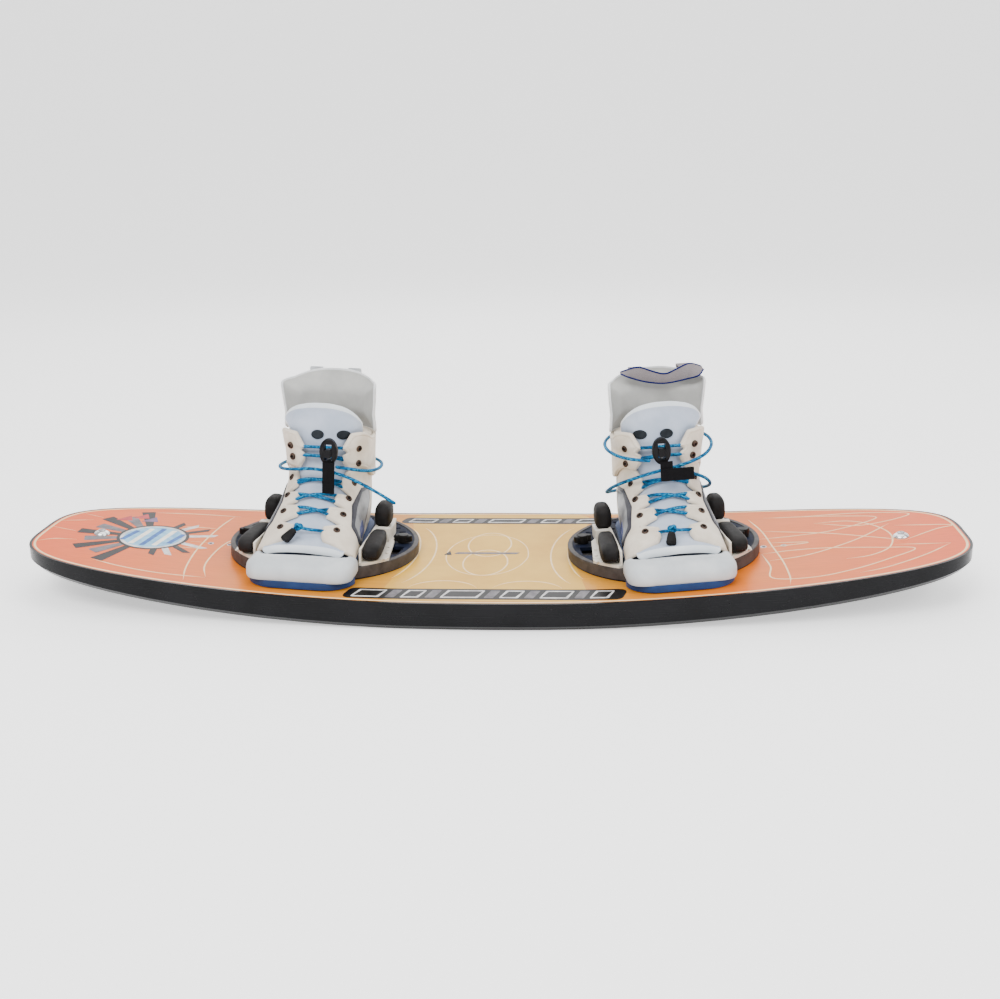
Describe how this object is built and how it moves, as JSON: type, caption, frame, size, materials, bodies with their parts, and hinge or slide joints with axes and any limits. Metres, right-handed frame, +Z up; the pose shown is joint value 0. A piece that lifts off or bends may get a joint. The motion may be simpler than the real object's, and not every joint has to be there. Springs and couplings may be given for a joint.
{
  "type": "wakeboard",
  "caption": "Rockered wakeboard with fins underneath and a lace-up boot on each of its round, clamped binding plates.",
  "frame": {"origin": "middle of the flat stretch of the base, the board's lowest face", "axes": "+X along the board, +Y towards the heel edge (away from the toes), +Z up out of the deck"},
  "size_m": [1.3905, 0.434, 0.3126],
  "materials": {
    "rail_black": "gloss",
    "deck_graphic": "gloss printed sheet",
    "steel": "satin",
    "washer": "polished",
    "fin_plastic": "satin",
    "gasket_foam": "matte foam",
    "rim_grey": "satin",
    "plate_navy": "satin",
    "knob_black": "satin",
    "sole_blue": "matte foam",
    "toe_grey": "soft foam",
    "frame_white": "satin",
    "bumper_black": "matte",
    "overlay_cream": "soft synthetic leather",
    "tongue_blue_white": "soft foam",
    "panel_grey": "soft foam",
    "vent_grey": "mesh",
    "badge_silver": "satin",
    "eyelet_metal": "dark bronze",
    "lace_blue": "braided",
    "lock_black": "satin",
    "tab_black": "webbing",
    "end_rubber": "matte",
    "strap_grey": "webbing"
  },
  "bodies": {
    "board": {"board_hull": "rail_black", "topsheet": "deck_graphic", "threaded_inserts": "steel", "left_fin": "fin_plastic", "right_fin": "fin_plastic", "fin_bolts": "steel", "fin_washers": "washer", "eyelets": "eyelet_metal", "frame_rivets": "frame_white", "front_bumpers": "bumper_black", "rear_bumpers": "bumper_black", "side_badges": "badge_silver", "tongue_vents": "vent_grey", "lock_springs": "steel", "left_gasket": "gasket_foam", "left_disc_rim": "rim_grey", "left_disc_plate": "plate_navy", "left_footbed": "sole_blue", "left_toe_cap": "toe_grey", "left_tongue": "tongue_blue_white", "left_inner_overlay": "overlay_cream", "left_outer_overlay": "overlay_cream", "left_cuff": "overlay_cream", "left_back_panel": "panel_grey", "left_inner_side_frame": "frame_white", "left_outer_side_frame": "frame_white", "left_laces": "lace_blue", "left_lock_body": "lock_black", "left_lace_cord": "lace_blue", "right_gasket": "gasket_foam", "right_disc_rim": "rim_grey", "right_disc_plate": "plate_navy", "right_footbed": "sole_blue", "right_toe_cap": "toe_grey", "right_tongue": "tongue_blue_white", "right_inner_overlay": "overlay_cream", "right_outer_overlay": "overlay_cream", "right_cuff": "overlay_cream", "right_back_panel": "panel_grey", "right_inner_side_frame": "frame_white", "right_outer_side_frame": "frame_white", "right_laces": "lace_blue", "right_lock_body": "lock_black", "right_lace_cord": "lace_blue"},
    "left_outer_knob": {"left_outer_knob": "knob_black", "left_outer_stud": "steel"},
    "left_inner_knob": {"left_inner_knob": "knob_black", "left_inner_stud": "steel"},
    "left_lock_button": {"left_lock_button": "lock_black"},
    "left_pull_tab": {"left_pull_tab": "tab_black"},
    "left_end_tab": {"left_end_tab": "end_rubber"},
    "left_pull_strap": {"left_pull_strap": "strap_grey"},
    "right_outer_knob": {"right_outer_knob": "knob_black", "right_outer_stud": "steel"},
    "right_inner_knob": {"right_inner_knob": "knob_black", "right_inner_stud": "steel"},
    "right_lock_button": {"right_lock_button": "lock_black"},
    "right_pull_tab": {"right_pull_tab": "tab_black"},
    "right_end_tab": {"right_end_tab": "end_rubber"},
    "right_pull_strap": {"right_pull_strap": "strap_grey"}
  },
  "joints": [
    {"name": "left_outer_knob_turn", "type": "hinge", "parent": "board", "child": "left_outer_knob", "pos_m": [-0.37387, 0, 0.06952], "axis": [0.0464, 0, 0.9989], "continuous": true},
    {"name": "left_inner_knob_turn", "type": "hinge", "parent": "board", "child": "left_inner_knob", "pos_m": [-0.13613, 0, 0.05848], "axis": [0.0464, 0, 0.9989], "continuous": true},
    {"name": "left_lock_button_press", "type": "slide", "parent": "board", "child": "left_lock_button", "axis": [0.0464, 0, 0.9989], "range_m": [0, 0.005], "stiffness_N_per_m": 400},
    {"name": "left_pull_tab_swing", "type": "hinge", "parent": "board", "child": "left_pull_tab", "pos_m": [-0.2377, -0.03973, 0.19334], "axis": [-0.998, 0.0436, 0.0463], "range_deg": [0, 100]},
    {"name": "left_end_tab_swing", "type": "hinge", "parent": "board", "child": "left_end_tab", "pos_m": [-0.27118, -0.10329, 0.11481], "axis": [-0.998, 0.0436, 0.0463], "range_deg": [0, 80]},
    {"name": "left_pull_strap_swing", "type": "hinge", "parent": "board", "child": "left_pull_strap", "pos_m": [-0.25042, 0.12421, 0.30465], "axis": [0.998, -0.0436, -0.0463], "range_deg": [0, 180]},
    {"name": "right_outer_knob_turn", "type": "hinge", "parent": "board", "child": "right_outer_knob", "pos_m": [0.37387, 0, 0.06952], "axis": [-0.0464, 0, 0.9989], "continuous": true},
    {"name": "right_inner_knob_turn", "type": "hinge", "parent": "board", "child": "right_inner_knob", "pos_m": [0.13613, 0, 0.05848], "axis": [-0.0464, 0, 0.9989], "continuous": true},
    {"name": "right_lock_button_press", "type": "slide", "parent": "board", "child": "right_lock_button", "axis": [-0.0464, 0, 0.9989], "range_m": [0, 0.005], "stiffness_N_per_m": 400},
    {"name": "right_pull_tab_swing", "type": "hinge", "parent": "board", "child": "right_pull_tab", "pos_m": [0.2521, -0.03913, 0.19401], "axis": [-0.9904, -0.1305, -0.046], "range_deg": [0, 100]},
    {"name": "right_end_tab_swing", "type": "hinge", "parent": "board", "child": "right_end_tab", "pos_m": [0.26332, -0.1035, 0.11344], "axis": [-0.9904, -0.1305, -0.046], "range_deg": [0, 80]},
    {"name": "right_pull_strap_swing", "type": "hinge", "parent": "board", "child": "right_pull_strap", "pos_m": [0.23958, 0.12431, 0.30414], "axis": [-0.9904, -0.1305, -0.046], "range_deg": [0, 120]}
  ]
}
